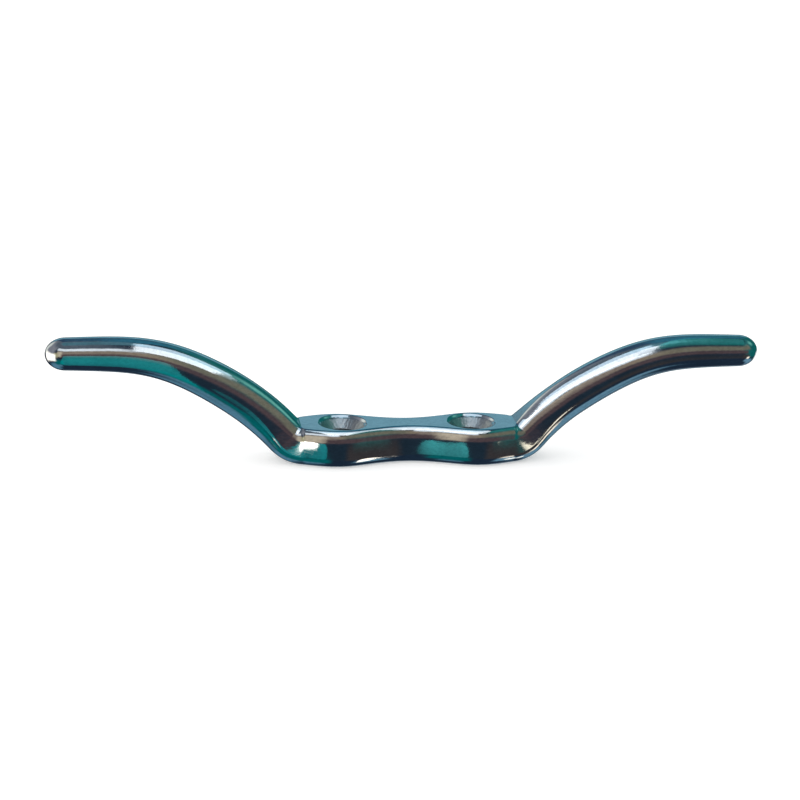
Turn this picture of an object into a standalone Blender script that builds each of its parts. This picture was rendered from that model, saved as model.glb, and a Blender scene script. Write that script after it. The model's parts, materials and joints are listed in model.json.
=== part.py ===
"""A rope cleat: one solid metal casting, with a waisted base, two upswept horns and two
countersunk screw holes. Metres, +Z up. The origin is the middle of the base's underside,
and +X runs along the horns."""

import bmesh
import bpy
import math
import numpy as np
from mathutils import Matrix

# Overall size.
LENGTH = 0.150
BASE_THICKNESS = 0.0079

# The middle line of the bar: level in the base, a tight bend, a short straight, then the horn.
BEND_START = 0.0223
BEND_RADIUS = 0.0050
HORN_STRAIGHT = 0.0020
HORN_SLOPES_DEG = (45.5, 33.4, 22.3, 4.4, 0.0)  # at each quarter of the horn's length

# Half of the bar's width, at distances along its middle line from the cleat's centre.
WAIST_HALF_WIDTH = 0.00395
LOBE_HALF_WIDTH = 0.0070
HORN_ROOT_HALF_WIDTH = 0.0042
WIDTH_KNOTS = (
    (0.0, WAIST_HALF_WIDTH),
    (0.0046, 0.0045),
    (0.0092, 0.00585),
    (0.0138, LOBE_HALF_WIDTH),
    (0.0184, 0.00655),
    (0.0230, 0.00515),
    (0.0280, HORN_ROOT_HALF_WIDTH),
)

# Half of the horn's thickness.
HORN_ROOT_HALF_THICKNESS = 0.0042
HORN_MIDDLE_RADIUS = 0.0040
HORN_TIP_RADIUS = 0.00335
TIP_CAP_LENGTH = 0.0042

# The section: a flat-sided bar with rounded corners that turns into a round one on the horn.
TOP_CORNER_ACROSS = 0.0015
TOP_CORNER_DOWN = 0.0026
BOTTOM_CORNER_ACROSS = 0.00175
BOTTOM_CORNER_UP = 0.0021
ROUNDING_LEAD = 0.0020  # how far before the bend the corners start to grow
ROUNDING_ON_HORN = 0.93  # 1 would leave no flat at all along the horn's crest
ROUNDING_RUN = 0.0090  # length of horn over which it is reached

# Holes for countersunk screws with a 90 degree head.
HOLE_SPACING = 0.0274
COUNTERSINK_DIAMETER = 0.0104
BORE_DIAMETER = 0.0058

# Facets.
BASE_STATIONS = 13
BEND_STATIONS = 5
HORN_STATIONS = 20
CAP_STATIONS = 5
TOP_CORNER_STEPS = 5
BOTTOM_CORNER_STEPS = 4
HOLE_SIDES = 40

TOUCH = 1e-6  # points nearer than this are the same


def clear_scene():
    for item in list(bpy.data.objects):
        bpy.data.objects.remove(item, do_unlink=True)


def spline(knots, values, at):
    """A natural cubic spline through the values at the knots, read at one or many places."""
    knots, values = np.asarray(knots, float), np.asarray(values, float)
    step = np.diff(knots)
    slope = np.diff(values) / step
    system = np.eye(len(knots))
    right = np.zeros(len(knots))
    for i in range(1, len(knots) - 1):
        system[i, i - 1 : i + 2] = step[i - 1], 2 * (step[i - 1] + step[i]), step[i]
        right[i] = 6 * (slope[i] - slope[i - 1])
    curve = np.linalg.solve(system, right)
    left = np.clip(np.searchsorted(knots, at, side="right") - 1, 0, len(step) - 1)
    a = (knots[left + 1] - at) / step[left]
    b = (at - knots[left]) / step[left]
    bow = (a**3 - a) * curve[left] + (b**3 - b) * curve[left + 1]
    return a * values[left] + b * values[left + 1] + bow * step[left] ** 2 / 6


def middle_line():
    """Places along one half's middle line: rows of distance, x, z and slope in radians."""
    rise = math.radians(HORN_SLOPES_DEG[0])
    base_x = np.linspace(0, BEND_START, BASE_STATIONS)
    base_z = np.full(BASE_STATIONS, BASE_THICKNESS / 2)
    turn = np.linspace(0, rise, BEND_STATIONS + 1)[1:]
    bend_x = BEND_START + BEND_RADIUS * np.sin(turn)
    bend_z = BASE_THICKNESS / 2 + BEND_RADIUS * (1 - np.cos(turn))
    root_x = bend_x[-1] + HORN_STRAIGHT * math.cos(rise)
    root_z = bend_z[-1] + HORN_STRAIGHT * math.sin(rise)

    share = np.linspace(0, 1, HORN_STATIONS + 1)
    slope = np.radians(spline(np.linspace(0, 1, len(HORN_SLOPES_DEG)), HORN_SLOPES_DEG, share))
    middle = (slope[1:] + slope[:-1]) / 2
    reach = np.concatenate([[0], np.cumsum(np.cos(middle))])
    climb = np.concatenate([[0], np.cumsum(np.sin(middle))])
    scale = (LENGTH / 2 - TIP_CAP_LENGTH - root_x) / reach[-1]

    x = np.concatenate([base_x, bend_x, root_x + scale * reach])
    z = np.concatenate([base_z, bend_z, root_z + scale * climb])
    pitch = np.concatenate([np.zeros(BASE_STATIONS), turn, slope])
    run = np.concatenate([[0], np.cumsum(np.hypot(np.diff(x), np.diff(z)))])
    return np.stack([run, x, z, pitch], axis=1)


def bar_profile(runs):
    """Half width, half thickness and roundness at each distance along the middle line."""
    bend_end = BEND_START + BEND_RADIUS * math.radians(HORN_SLOPES_DEG[0])
    root = bend_end + HORN_STRAIGHT
    tip = runs[-1]
    horn_knots = (
        (root + 0.35 * (tip - root), HORN_MIDDLE_RADIUS),
        (root + 0.7 * (tip - root), (HORN_MIDDLE_RADIUS + HORN_TIP_RADIUS) / 2),
        (tip, HORN_TIP_RADIUS),
    )
    mirrored = tuple((-run, width) for run, width in WIDTH_KNOTS[2:0:-1])
    half_width = spline(*zip(*(mirrored + WIDTH_KNOTS + horn_knots)), runs)

    base_half = BASE_THICKNESS / 2
    thickness_knots = (
        (BEND_START - 0.001, base_half),
        (BEND_START, base_half),
        (root + 0.003, HORN_ROOT_HALF_THICKNESS),
        (root + 0.5 * (tip - root), HORN_MIDDLE_RADIUS),
        (tip, HORN_TIP_RADIUS),
    )
    half_thickness = spline(*zip(*thickness_knots), runs)
    half_thickness[runs <= BEND_START] = base_half

    share = np.interp(runs, [BEND_START - ROUNDING_LEAD, root + ROUNDING_RUN], [0, 1])
    roundness = ROUNDING_ON_HORN * share**2 * (3 - 2 * share)
    return half_width, half_thickness, roundness


def corner(across, up, reach_across, reach_up, steps):
    """An elliptical corner that ends at (across, up) sideways and upwards, from the top down."""
    angle = np.linspace(math.pi / 2, 0, steps + 1)
    sideways = across - reach_across * (1 - np.cos(angle))
    upwards = up - reach_up * (1 - np.sin(angle))
    return np.stack([sideways, upwards], axis=1)


def section(half_width, half_thickness, roundness):
    """The bar's outline across its middle line, as a closed ring of (sideways, upwards)."""

    def grown(size, limit):
        return size + (limit - size) * roundness

    top = corner(
        half_width,
        half_thickness,
        grown(TOP_CORNER_ACROSS, half_width),
        grown(TOP_CORNER_DOWN, half_thickness),
        TOP_CORNER_STEPS,
    )
    bottom = corner(
        half_width,
        half_thickness,
        grown(BOTTOM_CORNER_ACROSS, half_width),
        grown(BOTTOM_CORNER_UP, half_thickness),
        BOTTOM_CORNER_STEPS,
    )
    right_side = np.concatenate([top, (bottom * (1, -1))[::-1]])
    left_side = (right_side * (-1, 1))[::-1]
    return np.concatenate([right_side, left_side])


def move_ring(ring, number, outline, x, z, pitch):
    """Put a ring of points on an outline that stands square to the middle line at x, z."""
    for point in ring:
        sideways, upwards = outline[point[number]]
        point.co = (
            x - math.sin(pitch) * upwards,
            sideways,
            z + math.cos(pitch) * upwards,
        )


def extrude_ring(mesh, ring):
    """Extrude a ring's edges by nothing, and return the new ring. Each point keeps its number."""
    inside = set(ring)
    edges = [edge for edge in mesh.edges if inside.issuperset(edge.verts)]
    made = bmesh.ops.extrude_edge_only(mesh, edges=edges)["geom"]
    return [item for item in made if isinstance(item, bmesh.types.BMVert)]


def loft_half(mesh):
    """One half of the solid bar, open at the cleat's centre, with a rounded tip."""
    line = middle_line()
    half_width, half_thickness, roundness = bar_profile(line[:, 0])
    outlines = [section(*size) for size in zip(half_width, half_thickness, roundness)]

    number = mesh.verts.layers.int.new("ring_number")
    ring = bmesh.ops.create_circle(mesh, segments=len(outlines[0]), radius=LENGTH)["verts"]
    for index, point in enumerate(ring):
        point[number] = index
    for (_, x, z, pitch), outline in zip(line, outlines):
        if x > 0:
            ring = extrude_ring(mesh, ring)
        move_ring(ring, number, outline, x, z, pitch)

    for turn in np.linspace(0, math.pi / 2, CAP_STATIONS + 1)[1:]:
        ring = extrude_ring(mesh, ring)
        cap_x = x + TIP_CAP_LENGTH * math.cos(pitch) * math.sin(turn)
        cap_z = z + TIP_CAP_LENGTH * math.sin(pitch) * math.sin(turn)
        move_ring(ring, number, outlines[-1] * math.cos(turn), cap_x, cap_z, pitch)
    bmesh.ops.pointmerge(mesh, verts=ring, merge_co=(cap_x, 0, cap_z))


def open_flat(mesh, height):
    """Remove the flat faces of the base at this height, and return the edges left open."""
    flat = [
        face
        for face in mesh.faces
        if all(abs(v.co.z - height) < TOUCH and abs(v.co.x) < BEND_START + TOUCH for v in face.verts)
    ]
    bmesh.ops.delete(mesh, geom=flat, context="FACES")
    return [edge for edge in mesh.edges if edge.is_boundary]


def sink_hole(mesh, x):
    """A countersunk hole's wall at x. Returns the edges of its rim and of its lower mouth."""
    circle = bmesh.ops.create_circle(
        mesh,
        segments=HOLE_SIDES,
        radius=COUNTERSINK_DIAMETER / 2,
        matrix=Matrix.Translation((x, 0, BASE_THICKNESS)),
    )["verts"]
    rim = list({edge for point in circle for edge in point.link_edges})
    cone_depth = (COUNTERSINK_DIAMETER - BORE_DIAMETER) / 2
    bore_depth = BASE_THICKNESS - cone_depth
    for depth, shrink in ((cone_depth, BORE_DIAMETER / COUNTERSINK_DIAMETER), (bore_depth, 1)):
        circle = extrude_ring(mesh, circle)
        centre = Matrix.Translation((-x, 0, 0))
        bmesh.ops.scale(mesh, verts=circle, vec=(shrink, shrink, 1), space=centre)
        bmesh.ops.translate(mesh, verts=circle, vec=(0, 0, -depth))
    inside = set(circle)
    mouth = [edge for edge in mesh.edges if inside.issuperset(edge.verts)]
    return rim, mouth


def close_flat(mesh, edges, up):
    """Fill between the flat's outline and its holes."""
    bmesh.ops.triangle_fill(mesh, use_beauty=True, edges=edges, normal=(0, 0, up))


def polished_metal():
    """The look of the whole casting: bright polished stainless steel."""
    material = bpy.data.materials.new("polished_steel")
    material.use_nodes = True
    shader = material.node_tree.nodes["Principled BSDF"]
    shader.inputs["Base Color"].default_value = (0.66, 0.70, 0.73, 1)
    shader.inputs["Metallic"].default_value = 1
    shader.inputs["Roughness"].default_value = 0.08
    return material


def make_cleat():
    mesh = bmesh.new()
    loft_half(mesh)
    bmesh.ops.mirror(mesh, geom=mesh.verts[:] + mesh.edges[:] + mesh.faces[:], axis="X", merge_dist=TOUCH)

    top_edges = open_flat(mesh, BASE_THICKNESS)
    bottom_edges = [edge for edge in open_flat(mesh, 0) if edge not in set(top_edges)]
    for side in (-1, 1):
        rim, mouth = sink_hole(mesh, side * HOLE_SPACING / 2)
        top_edges += rim
        bottom_edges += mouth
    close_flat(mesh, top_edges, 1)
    close_flat(mesh, bottom_edges, -1)
    bmesh.ops.recalc_face_normals(mesh, faces=mesh.faces)

    data = bpy.data.meshes.new("cleat")
    mesh.to_mesh(data)
    mesh.free()
    data.materials.append(polished_metal())
    data.shade_smooth()
    data.set_sharp_from_angle(angle=math.radians(35))
    cleat = bpy.data.objects.new("cleat", data)
    bpy.context.scene.collection.objects.link(cleat)


clear_scene()
make_cleat()
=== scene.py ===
"""The looks of a polished rope cleat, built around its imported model. Metres, +Z up, +X along
the horns, with the origin in the middle of the base's underside."""

import json
import math

import bmesh
import bpy
import numpy as np
from mathutils import Matrix, Vector


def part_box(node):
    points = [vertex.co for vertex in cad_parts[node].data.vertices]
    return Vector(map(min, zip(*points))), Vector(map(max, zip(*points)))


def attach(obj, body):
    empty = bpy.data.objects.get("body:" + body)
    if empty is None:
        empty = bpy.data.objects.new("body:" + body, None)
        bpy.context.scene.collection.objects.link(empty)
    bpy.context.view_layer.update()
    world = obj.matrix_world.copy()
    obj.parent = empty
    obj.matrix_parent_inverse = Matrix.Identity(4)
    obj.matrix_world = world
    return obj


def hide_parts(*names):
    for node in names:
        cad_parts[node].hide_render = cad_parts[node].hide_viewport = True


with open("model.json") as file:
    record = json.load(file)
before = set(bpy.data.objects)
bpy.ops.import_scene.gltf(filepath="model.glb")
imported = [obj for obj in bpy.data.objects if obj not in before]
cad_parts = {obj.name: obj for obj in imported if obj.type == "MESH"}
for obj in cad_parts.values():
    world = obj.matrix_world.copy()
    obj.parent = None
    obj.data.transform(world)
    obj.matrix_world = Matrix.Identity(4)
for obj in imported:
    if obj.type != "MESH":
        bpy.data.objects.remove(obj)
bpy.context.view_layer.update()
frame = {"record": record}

MM = 0.001

# Overall size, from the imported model, and the thickness of its base.
low_corner, high_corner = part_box("cleat")
LENGTH = high_corner.x - low_corner.x
BASE_THICKNESS = 7.9 * MM

# The middle line of the bar: level in the base, a tight bend, a short straight, then the horn.
BEND_START = 22.3 * MM
BEND_RADIUS = 5.0 * MM
HORN_STRAIGHT = 2.0 * MM
HORN_SLOPES_DEG = (45.5, 33.4, 22.3, 4.4, 0.0)  # at each quarter of the horn's length

# Half of the bar's width, at distances along its middle line from the cleat's centre.
WIDTH_KNOTS = (
    (0.0, 3.95 * MM),
    (4.6 * MM, 4.5 * MM),
    (9.2 * MM, 5.85 * MM),
    (13.8 * MM, 7.0 * MM),
    (18.4 * MM, 6.55 * MM),
    (23.0 * MM, 5.15 * MM),
    (28.0 * MM, 4.2 * MM),
)
HORN_ROOT_HALF_THICKNESS = 4.2 * MM
HORN_MIDDLE_RADIUS = 4.0 * MM
HORN_TIP_RADIUS = 3.35 * MM
TIP_CAP_LENGTH = 4.2 * MM

# The section: a flat-sided bar with rounded corners that turns into a round one on the horn.
TOP_CORNER = (1.5 * MM, 2.6 * MM)  # across, down
BOTTOM_CORNER = (1.75 * MM, 2.1 * MM)  # across, up
ROUNDING_LEAD = 2.0 * MM  # how far before the bend the corners start to grow
ROUNDING_ON_HORN = 0.93  # 1 would leave no flat at all along the horn's crest
ROUNDING_RUN = 9.0 * MM  # length of horn over which it is reached

# Holes for countersunk screws with a 90 degree head.
HOLE_X = 13.7 * MM
CONE_DEG = 45  # slope of the countersink's wall
RIM_RADIUS = 5.2 * MM
BORE_RADIUS = 2.9 * MM
LIP_RADIUS = 0.45 * MM  # polishing has rounded the countersink's rim
BORE_EDGE_RADIUS = 0.2 * MM
MOUTH_CHAMFER = 0.3 * MM

# Fineness of the mesh.
BASE_STATIONS = 61
BEND_STATIONS = 20
HORN_STATIONS = 110
CAP_STATIONS = 20
CORNER_STEPS = 18
LIP_STEPS = 8
BORE_EDGE_STEPS = 4
HOLE_SIDES = 96
SHARPEST_SMOOTH_DEG = 40  # edges that turn by more than this stay crisp
TOUCH = 1e-6  # points nearer than this are the same

# Material slots of the casting. Its polished skin keeps the first one.
BUFFED_FLAT, MACHINED, GROUND = 1, 2, 3


# ---------------------------------------------------------------- shape of the casting


def spline(knots, values, at):
    """A natural cubic spline through the values at the knots, read at one or many places."""
    knots, values = np.asarray(knots, float), np.asarray(values, float)
    step = np.diff(knots)
    slope = np.diff(values) / step
    system = np.eye(len(knots))
    right = np.zeros(len(knots))
    for i in range(1, len(knots) - 1):
        system[i, i - 1 : i + 2] = step[i - 1], 2 * (step[i - 1] + step[i]), step[i]
        right[i] = 6 * (slope[i] - slope[i - 1])
    curve = np.linalg.solve(system, right)
    left = np.clip(np.searchsorted(knots, at, side="right") - 1, 0, len(step) - 1)
    a = (knots[left + 1] - at) / step[left]
    b = (at - knots[left]) / step[left]
    bow = (a**3 - a) * curve[left] + (b**3 - b) * curve[left + 1]
    return a * values[left] + b * values[left + 1] + bow * step[left] ** 2 / 6


def middle_line():
    """Places along one half's middle line: rows of distance, x, z and slope in radians."""
    rise = math.radians(HORN_SLOPES_DEG[0])
    base_x = np.linspace(0, BEND_START, BASE_STATIONS)
    base_z = np.full(BASE_STATIONS, BASE_THICKNESS / 2)
    turn = np.linspace(0, rise, BEND_STATIONS + 1)[1:]
    bend_x = BEND_START + BEND_RADIUS * np.sin(turn)
    bend_z = BASE_THICKNESS / 2 + BEND_RADIUS * (1 - np.cos(turn))
    root_x = bend_x[-1] + HORN_STRAIGHT * math.cos(rise)
    root_z = bend_z[-1] + HORN_STRAIGHT * math.sin(rise)

    share = np.linspace(0, 1, HORN_STATIONS + 1)
    slope = np.radians(spline(np.linspace(0, 1, len(HORN_SLOPES_DEG)), HORN_SLOPES_DEG, share))
    middle = (slope[1:] + slope[:-1]) / 2
    reach = np.concatenate([[0], np.cumsum(np.cos(middle))])
    climb = np.concatenate([[0], np.cumsum(np.sin(middle))])
    scale = (LENGTH / 2 - TIP_CAP_LENGTH - root_x) / reach[-1]

    x = np.concatenate([base_x, bend_x, root_x + scale * reach])
    z = np.concatenate([base_z, bend_z, root_z + scale * climb])
    pitch = np.concatenate([np.zeros(BASE_STATIONS), turn, slope])
    run = np.concatenate([[0], np.cumsum(np.hypot(np.diff(x), np.diff(z)))])
    return np.stack([run, x, z, pitch], axis=1)


def bar_profile(runs):
    """Half width, half thickness and roundness at each distance along the middle line."""
    root = BEND_START + BEND_RADIUS * math.radians(HORN_SLOPES_DEG[0]) + HORN_STRAIGHT
    tip = runs[-1]
    horn_knots = (
        (root + 0.35 * (tip - root), HORN_MIDDLE_RADIUS),
        (root + 0.7 * (tip - root), (HORN_MIDDLE_RADIUS + HORN_TIP_RADIUS) / 2),
        (tip, HORN_TIP_RADIUS),
    )
    mirrored = tuple((-run, width) for run, width in WIDTH_KNOTS[2:0:-1])
    half_width = spline(*zip(*(mirrored + WIDTH_KNOTS + horn_knots)), runs)

    base_half = BASE_THICKNESS / 2
    thickness_knots = (
        (BEND_START - MM, base_half),
        (BEND_START, base_half),
        (root + 3 * MM, HORN_ROOT_HALF_THICKNESS),
        (root + 0.5 * (tip - root), HORN_MIDDLE_RADIUS),
        (tip, HORN_TIP_RADIUS),
    )
    half_thickness = spline(*zip(*thickness_knots), runs)
    half_thickness[runs <= BEND_START] = base_half

    share = np.interp(runs, [BEND_START - ROUNDING_LEAD, root + ROUNDING_RUN], [0, 1])
    roundness = ROUNDING_ON_HORN * share**2 * (3 - 2 * share)
    return half_width, half_thickness, roundness


def corner(across, up, reach_across, reach_up):
    """An elliptical corner ending at (across, up), from the top down, in even steps of tilt."""
    tilt = np.linspace(0, math.pi / 2, CORNER_STEPS + 1)
    angle = np.arctan2(reach_up * np.cos(tilt), reach_across * np.sin(tilt))
    sideways = across - reach_across * (1 - np.cos(angle))
    upwards = up - reach_up * (1 - np.sin(angle))
    return np.stack([sideways, upwards], axis=1)


def section(half_width, half_thickness, roundness):
    """The bar's outline across its middle line, as a closed ring of (sideways, upwards)."""
    full = np.array([half_width, half_thickness])
    top = corner(*full, *(TOP_CORNER + (full - TOP_CORNER) * roundness))
    bottom = corner(*full, *(BOTTOM_CORNER + (full - BOTTOM_CORNER) * roundness))
    right_side = np.concatenate([top, (bottom * (1, -1))[::-1]])
    left_side = (right_side * (-1, 1))[::-1]
    return np.concatenate([right_side, left_side])


def move_ring(ring, place_in_ring, outline, x, z, pitch):
    """Put a ring of points on an outline that stands square to the middle line at x, z."""
    for point in ring:
        sideways, upwards = outline[point[place_in_ring]]
        point.co = (
            x - math.sin(pitch) * upwards,
            sideways,
            z + math.cos(pitch) * upwards,
        )


def extrude_ring(mesh, ring):
    """Extrude a ring's edges by nothing, and return the new ring. Points keep their numbers."""
    inside = set(ring)
    touching = {edge for point in ring for edge in point.link_edges}
    free = [edge for edge in touching if edge.is_boundary or edge.is_wire]
    edges = [edge for edge in free if inside.issuperset(edge.verts)]
    made = bmesh.ops.extrude_edge_only(mesh, edges=edges)["geom"]
    return [item for item in made if isinstance(item, bmesh.types.BMVert)]


def loft_half(mesh):
    """One half of the solid bar, open at the cleat's centre, with a rounded tip."""
    line = middle_line()
    outlines = [section(*size) for size in zip(*bar_profile(line[:, 0]))]

    place_in_ring = mesh.verts.layers.int.new("place_in_ring")
    ring = bmesh.ops.create_circle(mesh, segments=len(outlines[0]), radius=LENGTH)["verts"]
    for index, point in enumerate(ring):
        point[place_in_ring] = index
    for (_, x, z, pitch), outline in zip(line, outlines):
        if x > 0:
            ring = extrude_ring(mesh, ring)
        move_ring(ring, place_in_ring, outline, x, z, pitch)

    for turn in np.linspace(0, math.pi / 2, CAP_STATIONS + 1)[1:]:
        ring = extrude_ring(mesh, ring)
        cap_x = x + TIP_CAP_LENGTH * math.cos(pitch) * math.sin(turn)
        cap_z = z + TIP_CAP_LENGTH * math.sin(pitch) * math.sin(turn)
        move_ring(ring, place_in_ring, outlines[-1] * math.cos(turn), cap_x, cap_z, pitch)
    bmesh.ops.pointmerge(mesh, verts=ring, merge_co=(cap_x, 0, cap_z))


def open_flat(mesh, height):
    """Remove the flat faces of the base at this height, and return the edges left open."""

    def on_flat(point):
        return abs(point.co.z - height) < TOUCH and abs(point.co.x) < BEND_START + TOUCH

    flat = [face for face in mesh.faces if all(map(on_flat, face.verts))]
    bmesh.ops.delete(mesh, geom=flat, context="FACES")
    return [edge for edge in mesh.edges if edge.is_boundary]


def arc(centre_radius, centre_depth, size, first_deg, last_deg, steps):
    """Points of (radius, depth) round an arc; 0 degrees points up and 90 at the hole's axis."""
    turn = np.radians(np.linspace(first_deg, last_deg, steps + 1))
    radius = centre_radius - size * np.sin(turn)
    depth = centre_depth - size * np.cos(turn)
    return list(zip(radius, depth))


def hole_profile():
    """(radius, depth) down a countersunk hole's wall, from the flat top to the underside."""
    half_turn = math.tan(math.radians(CONE_DEG / 2))
    lip_x = RIM_RADIUS + LIP_RADIUS * half_turn
    edge_x = BORE_RADIUS + BORE_EDGE_RADIUS
    edge_z = RIM_RADIUS - BORE_RADIUS + BORE_EDGE_RADIUS * half_turn
    lip = arc(lip_x, LIP_RADIUS, LIP_RADIUS, 0, CONE_DEG, LIP_STEPS)
    edge = arc(edge_x, edge_z, BORE_EDGE_RADIUS, CONE_DEG, 90, BORE_EDGE_STEPS)
    mouth = [
        (BORE_RADIUS, BASE_THICKNESS - MOUTH_CHAMFER),
        (BORE_RADIUS + MOUTH_CHAMFER, BASE_THICKNESS),
    ]
    return lip + edge + mouth


def sink_hole(mesh, x):
    """A countersunk hole's wall at x. Returns the edges of its rim and of its lower mouth."""
    centre = Matrix.Translation((-x, 0, 0))
    profile = hole_profile()
    radius, depth = profile[0]
    circle = bmesh.ops.create_circle(
        mesh,
        segments=HOLE_SIDES,
        radius=radius,
        matrix=Matrix.Translation((x, 0, BASE_THICKNESS)),
    )["verts"]
    rim = list({edge for point in circle for edge in point.link_edges})
    for next_radius, next_depth in profile[1:]:
        circle = extrude_ring(mesh, circle)
        grow = next_radius / radius
        bmesh.ops.scale(mesh, verts=circle, vec=(grow, grow, 1), space=centre)
        bmesh.ops.translate(mesh, verts=circle, vec=(0, 0, depth - next_depth))
        radius, depth = next_radius, next_depth
    inside = set(circle)
    mouth = [edge for edge in mesh.edges if inside.issuperset(edge.verts)]
    return rim, mouth


def close_flat(mesh, edges, up, slot):
    """Fill between the flat's outline and its holes."""
    made = bmesh.ops.triangle_fill(mesh, use_beauty=True, edges=edges, normal=(0, 0, up))["geom"]
    for item in made:
        if isinstance(item, bmesh.types.BMFace):
            item.material_index = slot


def cast_cleat():
    """The whole casting as one closed mesh object."""
    mesh = bmesh.new()
    loft_half(mesh)
    half = mesh.verts[:] + mesh.edges[:] + mesh.faces[:]
    bmesh.ops.mirror(mesh, geom=half, axis="X", merge_dist=TOUCH)

    top_edges = open_flat(mesh, BASE_THICKNESS)
    bottom_edges = [edge for edge in open_flat(mesh, 0) if edge not in set(top_edges)]
    skin = set(mesh.faces)
    for side in (-1, 1):
        rim, mouth = sink_hole(mesh, side * HOLE_X)
        top_edges += rim
        bottom_edges += mouth
    for face in mesh.faces:
        if face not in skin:
            face.material_index = MACHINED
    close_flat(mesh, top_edges, 1, BUFFED_FLAT)
    close_flat(mesh, bottom_edges, -1, GROUND)
    bmesh.ops.recalc_face_normals(mesh, faces=mesh.faces)

    data = bpy.data.meshes.new("cleat_casting")
    mesh.to_mesh(data)
    mesh.free()
    data.shade_smooth()
    data.set_sharp_from_angle(angle=math.radians(SHARPEST_SMOOTH_DEG))
    casting = bpy.data.objects.new("cleat_casting", data)
    bpy.context.scene.collection.objects.link(casting)
    even = casting.modifiers.new("flat_faces_stay_flat", "WEIGHTED_NORMAL")
    even.keep_sharp = True
    return casting


# ---------------------------------------------------------------- shaders


class Wire:
    """One output of a shader node. Arithmetic between wires and numbers adds Math nodes."""

    def __init__(self, tree, socket=None):
        self.tree = tree
        self.socket = socket

    def add(self, kind, settings=(), sockets=(), output=0):
        """Add a node: its settings first, then the values or wires of its input sockets."""
        node = self.tree.nodes.new(kind)
        for name, value in dict(settings).items():
            setattr(node, name, value)
        for name, value in dict(sockets).items():
            if isinstance(value, Wire):
                self.tree.links.new(value.socket, node.inputs[name])
            else:
                node.inputs[name].default_value = value
        return Wire(self.tree, node.outputs[output] if node.outputs else None)

    def math(self, operation, *others):
        """A Math node on this wire and the others, in that order."""
        values = enumerate((self, *others))
        return self.add("ShaderNodeMath", {"operation": operation}, values)

    def __add__(self, other):
        return self.math("ADD", other)

    def __sub__(self, other):
        return self.math("SUBTRACT", other)

    def __rsub__(self, other):
        return self.math("MULTIPLY_ADD", -1.0, other)

    def __mul__(self, other):
        return self.math("MULTIPLY", other)

    def __abs__(self):
        return self.math("ABSOLUTE")

    __radd__ = __add__
    __rmul__ = __mul__

    def axes(self):
        """The X, Y and Z of this vector, as three wires."""
        split = self.add("ShaderNodeSeparateXYZ", sockets={"Vector": self})
        return [Wire(self.tree, output) for output in split.socket.node.outputs]

    def smooth(self, start, end):
        """0 before start, 1 after end, and an even curve between."""
        return self.add(
            "ShaderNodeMapRange",
            {"interpolation_type": "SMOOTHSTEP"},
            {"Value": self, "From Min": start, "From Max": end},
        )

    def mix(self, first, second):
        """Blend two colours by this wire."""
        return self.add(
            "ShaderNodeMix",
            {"data_type": "RGBA"},
            {0: self, 6: first, 7: second},
            output=2,
        )


def new_material(name):
    """An empty material, and a wire to build its nodes from."""
    material = bpy.data.materials.new(name)
    material.use_nodes = True
    material.node_tree.nodes.clear()
    return material, Wire(material.node_tree)


def finish_material(graph, sockets):
    """End a material with a shader whose sockets hold these values and wires."""
    shader = graph.add("ShaderNodeBsdfPrincipled", sockets=sockets)
    graph.add("ShaderNodeOutputMaterial", sockets={"Surface": shader})


def finish_metal(graph, colour, roughness, relief, height=1.0):
    """End a material as bare metal. The relief is in metres once multiplied by the height."""
    normal = graph.add(
        "ShaderNodeBump",
        sockets={"Height": relief, "Distance": height, "Strength": 1.0},
    )
    finish_material(
        graph,
        {"Base Color": colour, "Metallic": 1.0, "Roughness": roughness, "Normal": normal},
    )


def stretched_noise(graph, place, scale, stretch=(1, 1, 1), detail=2.0, shift=(0, 0, 0)):
    """Noise of about 1 / scale metres, stretched by different amounts along each axis."""
    drawn = graph.add(
        "ShaderNodeMapping",
        sockets={"Vector": place, "Scale": stretch, "Location": shift},
    )
    return graph.add(
        "ShaderNodeTexNoise",
        sockets={"Vector": drawn, "Scale": scale, "Detail": detail, "Roughness": 0.55},
    )


STEEL = tuple(frame["record"]["materials"][0]["base_color"])
RIPPLE = 0.018 * MM  # height of the waves that polishing leaves
GRAIN = 0.002 * MM  # of the buffed flat's grain
CHATTER = 0.16 * MM  # of the cutter's marks in the countersinks
SCRATCH = 0.015 * MM  # of the lines along the underside
WALL_CROWN = 0.06 * MM  # how much the base's walls swell between their corners
WALL_MIDDLE = 3.7 * MM  # height of the top of that swell
WALL_REACH = 2.2 * MM  # how far it reaches up and down


def tinted(factor):
    """The steel's colour, a little darker or brighter."""
    return tuple(min(1.0, part * factor) for part in STEEL) + (1.0,)


def mottled(coarse, fine):
    """The steel's colour with faint blotches, from a coarse noise and a fine one."""
    blotches = coarse * 0.4 + fine * 0.6
    return blotches.smooth(0.35, 0.65).mix(tinted(0.9), tinted(1.07))


def polished_steel():
    """Mirror-polished skin: a ripple, the buffing wheel's fine lines, haze and crowned walls."""
    material, graph = new_material("polished_steel")
    place = graph.add("ShaderNodeTexCoord", output="Object")
    x, _, z = place.axes()
    ripple = stretched_noise(graph, place, 420, (0.7, 1, 1))
    orange_peel = stretched_noise(graph, place, 1900, (0.6, 1, 1), detail=3.0)
    lines = stretched_noise(graph, place, 900, (0.25, 4, 4), detail=4.0)
    haze = stretched_noise(graph, place, 160, detail=3.0)

    off_middle = abs(z - WALL_MIDDLE).math("MINIMUM", WALL_REACH)
    on_base = 1 - abs(x).smooth(BEND_START - 3 * MM, BEND_START + 3 * MM)
    crown = on_base * off_middle * off_middle * (-WALL_CROWN / WALL_REACH**2)
    relief = ripple * RIPPLE + orange_peel * (0.4 * RIPPLE) + lines * (0.08 * RIPPLE) + crown
    roughness = 0.06 + haze.smooth(0.35, 0.75) * 0.05 + lines.smooth(0.45, 0.7) * 0.03
    finish_metal(graph, mottled(haze, orange_peel), roughness, relief)
    return material


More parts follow.
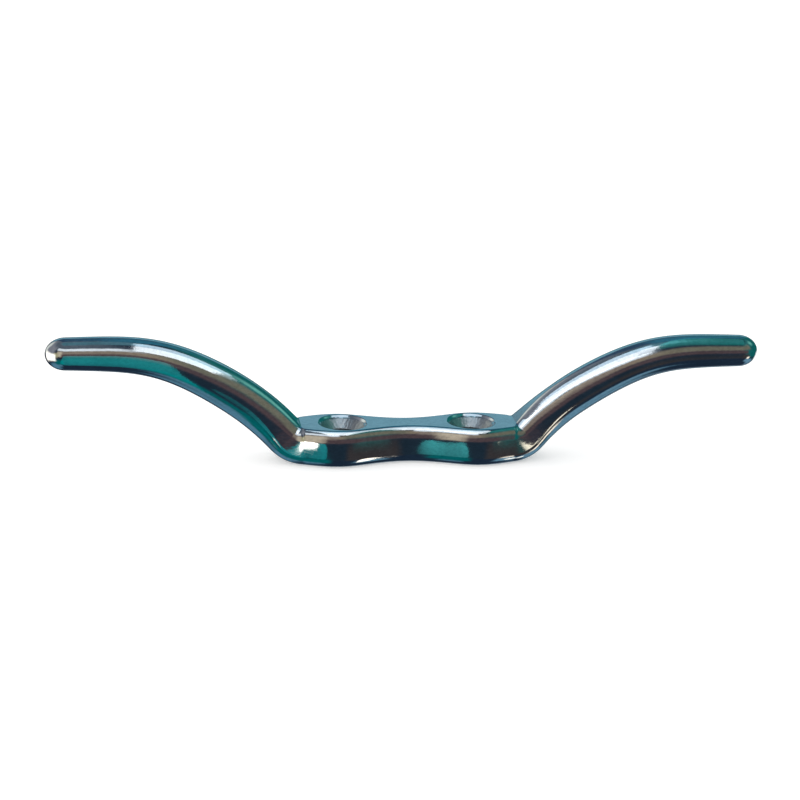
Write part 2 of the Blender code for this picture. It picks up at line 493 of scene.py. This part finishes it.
def buffed_flat():
    """The flat of the base: buffed level, and slightly hazier than the skin."""
    material, graph = new_material("buffed_flat")
    place = graph.add("ShaderNodeTexCoord", output="Object")
    grain = stretched_noise(graph, place, 2600, (0.5, 1, 1), detail=3.0)
    haze = stretched_noise(graph, place, 300)
    roughness = 0.10 + haze.smooth(0.3, 0.7) * 0.05
    finish_metal(graph, mottled(haze, grain), roughness, grain, GRAIN)
    return material


def machined_seat_painted_shade():
    """The countersinks: cut, not polished, with chatter marks down the cone, and painted shade that
    darkens the colour deeper down the hole.
    """
    material, graph = new_material("machined_seat_painted_shade")
    place = graph.add("ShaderNodeTexCoord", output="Object")
    x, y, z = place.axes()
    side = x.math("SIGN")
    heading = y.math("ARCTAN2", x - side * HOLE_X)
    around = graph.add(
        "ShaderNodeCombineXYZ",
        sockets={"X": heading * 4.0, "Y": z * 700.0, "Z": side * 3.0},
    )
    chatter = graph.add(
        "ShaderNodeTexNoise",
        sockets={"Vector": around, "Scale": 1.6, "Detail": 3.0, "Roughness": 0.6},
    )
    depth = (BASE_THICKNESS - z).smooth(0.35 * MM, 0.8 * MM)
    # Painted shade: the colour runs from a little brighter than the steel at the rim to much darker
    # towards the bore, deeper down the hole; the chatter adds the cutter's streaks
    colour = (depth * (0.55 + chatter * 0.75)).mix(tinted(1.05), tinted(0.55))
    roughness = 0.08 + depth * (0.16 + chatter * 0.16)
    finish_metal(graph, colour, roughness, chatter * depth, CHATTER)
    return material


def ground_underside():
    """The underside: linished flat along the base, and left dull."""
    material, graph = new_material("ground_underside")
    place = graph.add("ShaderNodeTexCoord", output="Object")
    lines = stretched_noise(graph, place, 1500, (0.04, 3, 1), detail=4.0)
    worn = lines.smooth(0.3, 0.7)
    finish_metal(graph, worn.mix(tinted(0.82), tinted(0.98)), 0.28 + worn * 0.14, lines, SCRATCH)
    return material


# ---------------------------------------------------------------- studio


def glow(red, green, blue, strength=1.0):
    """Light of this display colour, as the polished steel shows it, in scene-linear values."""

    def linear(part):
        part = part / 255
        return part / 12.92 if part < 0.04045 else ((part + 0.055) / 1.055) ** 2.4

    values = (linear(part) * strength / tint for part, tint in zip((red, green, blue), STEEL))
    return (*values, 1.0)


# What stands round the cleat, seen from it: heading and height of the middle in degrees (heading
# 0 is +Y and 90 is +X), half its width and half its height, the softness of its edge, and its
# light. Each one covers those before it.
SURROUNDINGS = (
    ("floor_haze_left", -85, -62, 65, 14, 8, glow(74, 116, 138)),
    ("floor_haze_right", 92, -48, 38, 10, 5, glow(90, 128, 150)),
    ("grey_board_low_behind", 20, -40, 22, 13, 7, glow(112, 128, 142)),
    ("ceiling_grey", -90, 62, 95, 26, 8, glow(76, 88, 100)),
    ("dark_teal_wall", 75, 15, 72, 45, 10, glow(12, 88, 88)),
    ("teal_wall_upper", 98, 46, 36, 10, 8, glow(40, 98, 100)),
    ("pale_patch_on_wall", 84, 36, 12, 9, 8, glow(92, 165, 155)),
    ("ceiling", 0, 90, 180, 14, 5, glow(66, 104, 118)),
    ("navy_wall_behind", -2, 50, 22, 20, 7, glow(40, 64, 88)),
    ("teal_wall_behind", 22, 58, 20, 18, 8, glow(40, 96, 118)),
    ("pale_horizon_behind", 5, 18, 27, 11, 5, glow(98, 142, 160)),
    ("grey_wall_left", -75, 25, 48, 26, 12, glow(118, 122, 132)),
    ("pale_gap_left", -42, 15, 14, 22, 9, glow(196, 204, 200)),
    ("tan_board_front", 178, 24, 20, 12, 8, glow(126, 114, 100)),
    ("olive_wall_right", 140, 27, 28, 13, 10, glow(100, 100, 88)),
    ("mauve_wall_front_left", -168, 16, 12, 16, 6, glow(122, 112, 104)),
    ("tan_board_left", -150, 10, 12, 18, 6, glow(176, 166, 148)),
    ("olive_board_left", -134, 2, 12, 14, 7, glow(150, 146, 116)),
    ("pale_wall_left", -160, 41, 26, 8, 4, glow(212, 223, 232)),
    ("brown_front", 165, 0, 34, 10, 8, glow(72, 60, 64)),
    ("dark_low_front", 180, -22, 34, 13, 7, glow(26, 40, 52)),
    ("brown_low_right", 140, -26, 18, 12, 7, glow(50, 48, 50)),
    ("teal_cloth_low_left", -142, -44, 26, 18, 8, glow(4, 88, 92)),
    ("warm_lamp_left", -92, -14, 38, 20, 8, glow(255, 252, 244, 1.4)),
    ("pale_board_low_right", 46, -22, 17, 9, 5, glow(226, 234, 236)),
    ("small_lamp_right", 122, -33, 7, 6, 4, glow(250, 240, 222, 1.2)),
)
DARK_FLOOR = glow(25, 39, 55)
DRIFT_DEG = 7.0  # how far the edges of all these wander
WHITE = (1.0, 1.0, 1.0, 1.0)

# Panels of light close to the cleat, in millimetres: middle, facing, width, height, how widely
# each one shines in degrees, and its light.
DOWN = (0, 0, -1)
WIDEST_ROUND_DEG = 90  # panels that shine more widely than this are rectangular
SOFT_BOXES = (
    ("overhead_front", (-2, -68, 110), DOWN, 88, 76, 180, glow(234, 244, 251, 1.0)),
    ("overhead_front_right", (50, -62, 110), DOWN, 16, 88, 110, glow(232, 243, 251, 1.2)),
    ("overhead_rear", (2, -12, 110), DOWN, 96, 36, 180, glow(172, 194, 210)),
    ("teal_overhead_right", (88, -30, 110), DOWN, 60, 130, 84, glow(34, 122, 116, 1.2)),
    ("teal_sheet_left", (-75, -60, -16), (-0.4, 0.8, 0.45), 50, 92, 116, glow(2, 112, 112, 1.5)),
    ("lamp_by_left_bend", (-44, -45, -5.5), (0.47, 0.87, 0.16), 11, 11, 40, glow(252, 246, 234, 2.5)),
    ("teal_cloth_left", (-36, -45, -11), (0.3, 0.93, 0.2), 14, 17, 64, glow(6, 118, 120, 1.1)),
    ("teal_cloth_right", (-5.5, -45, -13), (0.29, 0.93, 0.2), 15, 15, 44, glow(50, 142, 142, 1.2)),
    ("glint_left", (1, -14, -12), (-0.6, 0.45, 0.68), 4, 10, 36, glow(250, 240, 222, 1.9)),
    ("glint_middle", (33.3, -10.6, -13.6), (-0.69, 0.28, 0.67), 4, 4, 50, glow(250, 240, 222, 1.6)),
    ("glint_right", (37.5, -26, -1), (-0.5, 0.84, 0.17), 5, 3, 26, glow(232, 224, 200, 1.4)),
    ("glint_on_horn", (43, -22.7, -3), (-0.47, 0.75, 0.45), 4, 3.5, 30, glow(232, 226, 206, 1.4)),
)


FLOOR_HALF_WIDTH = 3.0
FLOOR_GAP = 0.02 * MM  # keeps the floor clear of the underside

# The camera: its heading, height and roll round its target in degrees, and its lens.
CAMERA_TURN_DEG = (-9.89, 17.7, 2.52)
CAMERA_DISTANCE = 445.1 * MM
CAMERA_TARGET = Vector((-1.74, 0, 12.67)) * MM
CAMERA_LENS_MM = 95.73
CAMERA_SENSOR_MM = 36


def light_round_the_cleat():
    """White for the camera and the floor, and the surroundings for the steel to reflect."""
    world = bpy.data.worlds.new("studio")
    bpy.context.scene.world = world
    world.use_nodes = True
    world.node_tree.nodes.clear()
    graph = Wire(world.node_tree)
    way = graph.add("ShaderNodeTexCoord", output="Generated")
    x, y, z = way.axes()
    drift = stretched_noise(graph, way, 7.0, detail=3.0)
    drift_up = stretched_noise(graph, way, 7.0, detail=3.0, shift=(3.0, 5.0, 7.0))
    heading = x.math("ARCTAN2", y) * math.degrees(1) + (drift - 0.5) * DRIFT_DEG
    height = z.math("ARCSINE") * math.degrees(1) + (drift_up - 0.5) * DRIFT_DEG

    colour = DARK_FLOOR
    for name, middle, up, half_width, half_height, edge, light in SURROUNDINGS:
        aside = abs((heading - middle).math("WRAP", 180.0, -180.0))
        over = abs(height - up)
        within_width = 1 - aside.smooth(half_width - edge, half_width + edge)
        within_height = 1 - over.smooth(half_height - edge, half_height + edge)
        colour = (within_width * within_height).mix(colour, light)
        colour.socket.node.label = name

    seen_in_steel = graph.add("ShaderNodeLightPath", output="Is Glossy Ray")
    shown = seen_in_steel.mix(WHITE, colour)
    background = graph.add("ShaderNodeBackground", sockets={"Color": shown, "Strength": 1.0})
    graph.add("ShaderNodeOutputWorld", sockets={"Surface": background})


def soft_box(name, middle, facing, width, height, spread, light):
    """A glowing panel that only the steel reflects. One with a narrow spread is round.

    Blender brightens a lamp's middle as its spread narrows. The energy allows for that, so that
    the light is what the steel shows."""
    half_spread = math.radians(spread / 2)
    round_panel = spread <= WIDEST_ROUND_DEG
    lamp = bpy.data.lights.new(name, "AREA")
    lamp.shape = "ELLIPSE" if round_panel else "RECTANGLE"
    lamp.size = width * MM
    lamp.size_y = height * MM
    lamp.spread = 2 * half_spread
    area = (width * MM) * (height * MM) * (math.pi / 4 if round_panel else 1)
    strongest = max(light[:3])
    lamp.color = [part / strongest for part in light[:3]]
    lamp.energy = strongest * math.pi * area * (1 - half_spread / math.tan(half_spread))
    panel = bpy.data.objects.new(name, lamp)
    panel.location = Vector(middle) * MM
    panel.rotation_euler = Vector(facing).to_track_quat("-Z", "Y").to_euler()
    panel.visible_camera = False
    panel.visible_diffuse = False
    bpy.context.scene.collection.objects.link(panel)


def lay_floor():
    """A plain pale floor, which the steel doesn't reflect."""
    mesh = bmesh.new()
    bmesh.ops.create_grid(mesh, x_segments=1, y_segments=1, size=FLOOR_HALF_WIDTH)
    data = bpy.data.meshes.new("floor")
    mesh.to_mesh(data)
    mesh.free()
    floor = bpy.data.objects.new("floor", data)
    floor.location.z = -FLOOR_GAP
    floor.visible_glossy = False
    material, graph = new_material("pale_floor")
    finish_material(
        graph,
        {
            "Base Color": (0.88, 0.88, 0.88, 1.0),
            "Roughness": 0.9,
            "Emission Color": WHITE,
            "Emission Strength": 0.35,
        },
    )
    data.materials.append(material)
    bpy.context.scene.collection.objects.link(floor)


def place_camera():
    """A long lens that looks slightly down on the cleat."""
    heading, height, roll = (math.radians(angle) for angle in CAMERA_TURN_DEG)
    level = Vector((math.cos(heading), math.sin(heading), 0))
    away = Vector((math.sin(heading), -math.cos(heading), 0))
    back = away * math.cos(height) + Vector((0, 0, math.sin(height)))
    right = level * math.cos(roll) + back.cross(level) * math.sin(roll)
    up = back.cross(right)
    turn = Matrix((right, up, back)).transposed().to_4x4()
    data = bpy.data.cameras.new("camera")
    data.lens = CAMERA_LENS_MM
    data.sensor_width = CAMERA_SENSOR_MM
    camera = bpy.data.objects.new("camera", data)
    camera.matrix_world = Matrix.Translation(CAMERA_TARGET + back * CAMERA_DISTANCE) @ turn
    bpy.context.scene.collection.objects.link(camera)
    bpy.context.scene.camera = camera


# ---------------------------------------------------------------- the scene

place_camera()
light_round_the_cleat()
lay_floor()
for panel in SOFT_BOXES:
    soft_box(*panel)

casting = cast_cleat()
for finish in (polished_steel, buffed_flat, machined_seat_painted_shade, ground_underside):
    casting.data.materials.append(finish())
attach(casting, "root")
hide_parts("cleat")

bpy.context.scene.view_settings.view_transform = "Standard"
